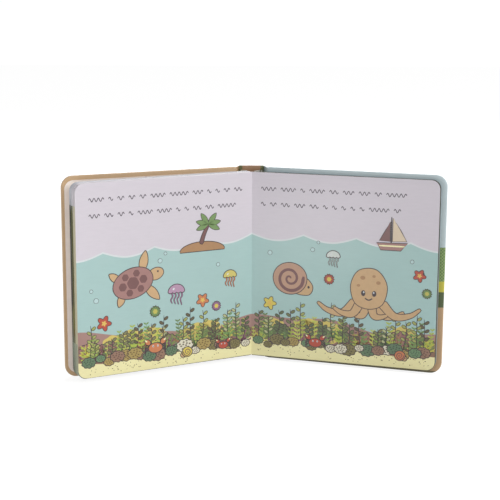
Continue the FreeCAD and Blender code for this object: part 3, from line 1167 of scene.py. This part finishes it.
def island(page, x, y, size):
    """A mound of sand with a leaning palm."""
    form = Form(x, y, size)
    t = np.linspace(0, math.pi, 22)
    mound = form.at(np.column_stack([1.7 * np.cos(t), 0.62 * np.sin(t)]))
    page.lined(mound, DEEP_BISCUIT, TOP)
    trunk = form.stroke([[-0.1, 0.5], [0.1, 1.1], [0.45, 1.8]], 0.26, 0.16)
    page.lined(trunk, DEEP_MAUVE, TOP + 2)
    for angle in (200, 165, 125, 50, 10, -25):
        page.lined(form.blade(0.45, 1.8, 0.95, 0.34, angle, 9), ink(120, 150, 92), TOP + 4, 0.55)


def urchin(page, x, y, size, colour, deep):
    """A spiky ball: many lobes on a small circle."""
    page.lined(lobed(x, y, size, 13, 0.2, count=78), colour, TOP, 0.5)
    page.patch(lobed(x, y, 0.5 * size, 6, 0.1, count=30), deep, TOP + 2)


def bubbles(page, places):
    for x, y, r in places:
        page.lined(oval(x, y, r, r, count=18), ink(190, 216, 216), TOP, 0.35)


RIPPLE = 4.6  # mm from one crest to the next
RIPPLE_SWING = 1.7
RIPPLE_GAP = 5.0
ROW_START = {LEFT: 14 - PAGE, RIGHT: 10}  # where a row begins, in mm from the gutter


def ripples(page, side, rows, seed):
    """Rows of short ripple strokes across the sky, each row a height and a length."""
    rng = np.random.default_rng(seed)
    for level, length in rows:
        done = 0.0
        while done < length:
            run = RIPPLE / 2 * float(rng.choice([2, 3, 4, 5, 7, 9]))
            t = np.linspace(0, run, int(run * 3))
            swing = RIPPLE_SWING * np.sin(t * 2 * math.pi / RIPPLE)
            path = np.column_stack([ROW_START[side] + done + t, level + swing])
            page.patch(brush(path, 0.85, 0.85, 2), ink(84, 76, 86), BACKGROUND)
            done += run + RIPPLE_GAP


print("motifs ready")

# %% The two printed pages
PURPLE, ORANGE = ink(150, 108, 140), ink(206, 128, 84)
YELLOW, RED = ink(222, 202, 92), ink(184, 78, 60)


def left_picture():
    page = Print()
    seabed(page, LEFT, seed=7)
    ripples(page, LEFT, [(179, 172), (163, 160)], seed=3)
    island(page, -58, 118, 15)
    turtle(page, -136, 92, 21, 16)
    jellyfish(page, -88, 78, 9, ink(186, 150, 176), PURPLE)
    jellyfish(page, -26, 88, 7.5, ink(214, 200, 112), ORANGE)
    star(page, -168, 54, 6, RED, 30)
    star(page, -58, 66, 5.5, ORANGE, 80)
    urchin(page, -112, 60, 5, ink(112, 140, 84), ink(196, 188, 92))
    urchin(page, -42, 58, 4.4, PURPLE, YELLOW)
    crab(page, -112, 22, 7.5, ORANGE)
    crab(page, -34, 15, 5.4, RED)
    curled_shell(page, -76, 13, 5.4, -1, YELLOW, DEEP_MAUVE)
    bubbles(page, [(-106, 112, 2.2), (-100, 119, 1.5), (-176, 78, 2.4), (-181, 88, 1.6),
                   (-40, 102, 1.8)])
    return page


def right_picture():
    page = Print()
    seabed(page, RIGHT, seed=19)
    ripples(page, RIGHT, [(179, 138), (163, 146)], seed=5)
    boat(page, 148, 128, 12.5)
    octopus(page, 126, 76, 26)
    curled_shell(page, 42, 86, 18, 1, ink(192, 152, 128), DEEP_MAUVE)
    jellyfish(page, 88, 112, 7, ink(216, 222, 216), ink(170, 180, 176))
    star(page, 20, 58, 5.5, YELLOW, 10)
    star(page, 178, 98, 5, RED, 50)
    urchin(page, 84, 88, 4.6, ink(176, 84, 66), YELLOW)
    urchin(page, 186, 80, 4.2, ink(112, 140, 84), ink(196, 188, 92))
    crab(page, 70, 19, 6.6, RED)
    curled_shell(page, 160, 13, 5.2, 1, ORANGE, DEEP_MAUVE)
    bubbles(page, [(66, 118, 2.0), (72, 126, 1.4), (170, 112, 1.8), (20, 112, 2.2), (96, 56, 1.6)])
    return page


def print_finish():
    """Ink as stored on each plate, under the same film as the pages."""
    g = Graph("printed_shapes", **PRINTED_PAGE)
    where = g.place()
    film_tooth(g, where)
    stored = g.stored("shape_ink").outputs["Color"]
    return g.colour(g.shade(stored, g.noise(where, 260, detail=3), 0.16, 0.92))


GUTTER_MARGIN, TRIM_MARGIN = 0.4, 0.5  # mm of card that no plate covers


def press(page, side, finish):
    """Each outline becomes a closed plate: its ink face, its root in the card, and a rim."""
    points, faces, inks, start = [], [], [], 0
    for loop, colour, level in zip(page.loops, page.inks, page.levels):
        count = len(loop)
        u = np.clip(side * loop[:, 0], GUTTER_MARGIN, PAGE - TRIM_MARGIN)
        v = PAGE_FOOT + np.clip(loop[:, 1], TRIM_MARGIN, PAGE - TRIM_MARGIN)
        for depth in (PLATE_ROOT, -level * STEP):
            points.append(np.column_stack([u, np.full(count, depth), v]))
        faces += ring_faces(2, count, start)
        inks.append(np.tile(colour, (2 * count, 1)))
        start += 2 * count
    standing = stand(np.concatenate(points), side, PAGE_ANGLE[side] + FAN[side][0], GUTTER)
    name = "left_print" if side == LEFT else "right_print"
    made = piece(name, standing, faces, [finish], crease=20)
    point_values(made, "shape_ink", np.concatenate(inks), "FLOAT_COLOR")
    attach(made, "leaves_and_spine")
    print(len(page.loops), "shapes")
    return report(made)


PLATE_INK = print_finish()
press(left_picture(), LEFT, PLATE_INK)
press(right_picture(), RIGHT, PLATE_INK)

# %% [markdown]
# ## Floor, backdrop and light
#
# The photograph has a plain white ground. The floor and the world look white to the camera and
# in gloss, while the light that falls on the book stays at a plain level. One large soft lamp
# stands far to the right of the camera, because the left page is the brighter one. A small low
# one near the book lifts the gutter and the sand, and one behind it catches the top edges.
#
# %% Floor
def seen_directly(tree):
    """1 for rays from the camera, from gloss and through clear things, 0 for the rest."""
    path = tree.nodes.new("ShaderNodeLightPath")
    total = path.outputs["Is Camera Ray"]
    for name in ("Is Glossy Ray", "Is Transmission Ray"):
        most = tree.nodes.new("ShaderNodeMath")
        most.operation = "MAXIMUM"
        tree.links.new(total, most.inputs[0])
        tree.links.new(path.outputs[name], most.inputs[1])
        total = most.outputs[0]
    return total


FLOOR_REACH = 6.0
floor_corners = [(-1, -1), (1, -1), (1, 1), (-1, 1)]
floor_mesh = bpy.data.meshes.new("floor")
floor_mesh.from_pydata(
    [(x * FLOOR_REACH, y * FLOOR_REACH, 0) for x, y in floor_corners], [], [(0, 1, 2, 3)]
)
floor = bpy.data.objects.new("floor", floor_mesh)
bpy.context.scene.collection.objects.link(floor)
floor_finish = bpy.data.materials.new("pale_floor")
floor_finish.use_nodes = True
tree = floor_finish.node_tree
tree.nodes.clear()
output = tree.nodes.new("ShaderNodeOutputMaterial")
# light from the book sees a plain pale floor; the camera sees a glowing one with faint shadows
plain = tree.nodes.new("ShaderNodeBsdfDiffuse")
plain.inputs["Color"].default_value = (0.9, 0.9, 0.9, 1)
shadowed = tree.nodes.new("ShaderNodeBsdfDiffuse")
shadowed.inputs["Color"].default_value = (0.3, 0.3, 0.3, 1)
glow = tree.nodes.new("ShaderNodeEmission")
glow.inputs["Strength"].default_value = 0.86
add = tree.nodes.new("ShaderNodeAddShader")
tree.links.new(shadowed.outputs[0], add.inputs[0])
tree.links.new(glow.outputs[0], add.inputs[1])
choose = tree.nodes.new("ShaderNodeMixShader")
tree.links.new(seen_directly(tree), choose.inputs[0])
tree.links.new(plain.outputs[0], choose.inputs[1])
tree.links.new(add.outputs[0], choose.inputs[2])
tree.links.new(choose.outputs[0], output.inputs[0])
floor_mesh.materials.append(floor_finish)

# %% World and lamps
LIGHT_ON_BOOK, WHITE_TO_CAMERA = 0.38, 1.02
world = bpy.data.worlds.new("studio")
bpy.context.scene.world = world
world.use_nodes = True
tree = world.node_tree
ground = tree.nodes["Background"]
ground.inputs["Color"].default_value = (1, 1, 1, 1)
strength = tree.nodes.new("ShaderNodeMapRange")
strength.inputs["To Min"].default_value = LIGHT_ON_BOOK
strength.inputs["To Max"].default_value = WHITE_TO_CAMERA
tree.links.new(seen_directly(tree), strength.inputs["Value"])
tree.links.new(strength.outputs[0], ground.inputs["Strength"])


def soft_lamp(name, place, target, size, power):
    """A square area lamp that looks at a point."""
    data = bpy.data.lights.new(name, "AREA")
    data.shape = "SQUARE"
    data.size = size
    data.energy = power
    lamp = bpy.data.objects.new(name, data)
    lamp.visible_camera = False
    bpy.context.scene.collection.objects.link(lamp)
    toward = Vector(target) - Vector(place)
    turn = toward.to_track_quat("-Z", "Y").to_matrix().to_4x4()
    lamp.matrix_world = Matrix.Translation(place) @ turn
    print(name, "at", place)


BOOK_MIDDLE = (0, 0, 0.1)
soft_lamp("key", (7.0, -4.1, 4.1), BOOK_MIDDLE, 3.6, 318)
soft_lamp("fill", (-0.22, -0.5, 0.08), BOOK_MIDDLE, 0.26, 0.6)
soft_lamp("rear", (0.2, 1.8, 1.5), BOOK_MIDDLE, 1.4, 30)
bpy.context.scene.view_settings.view_transform = "Standard"
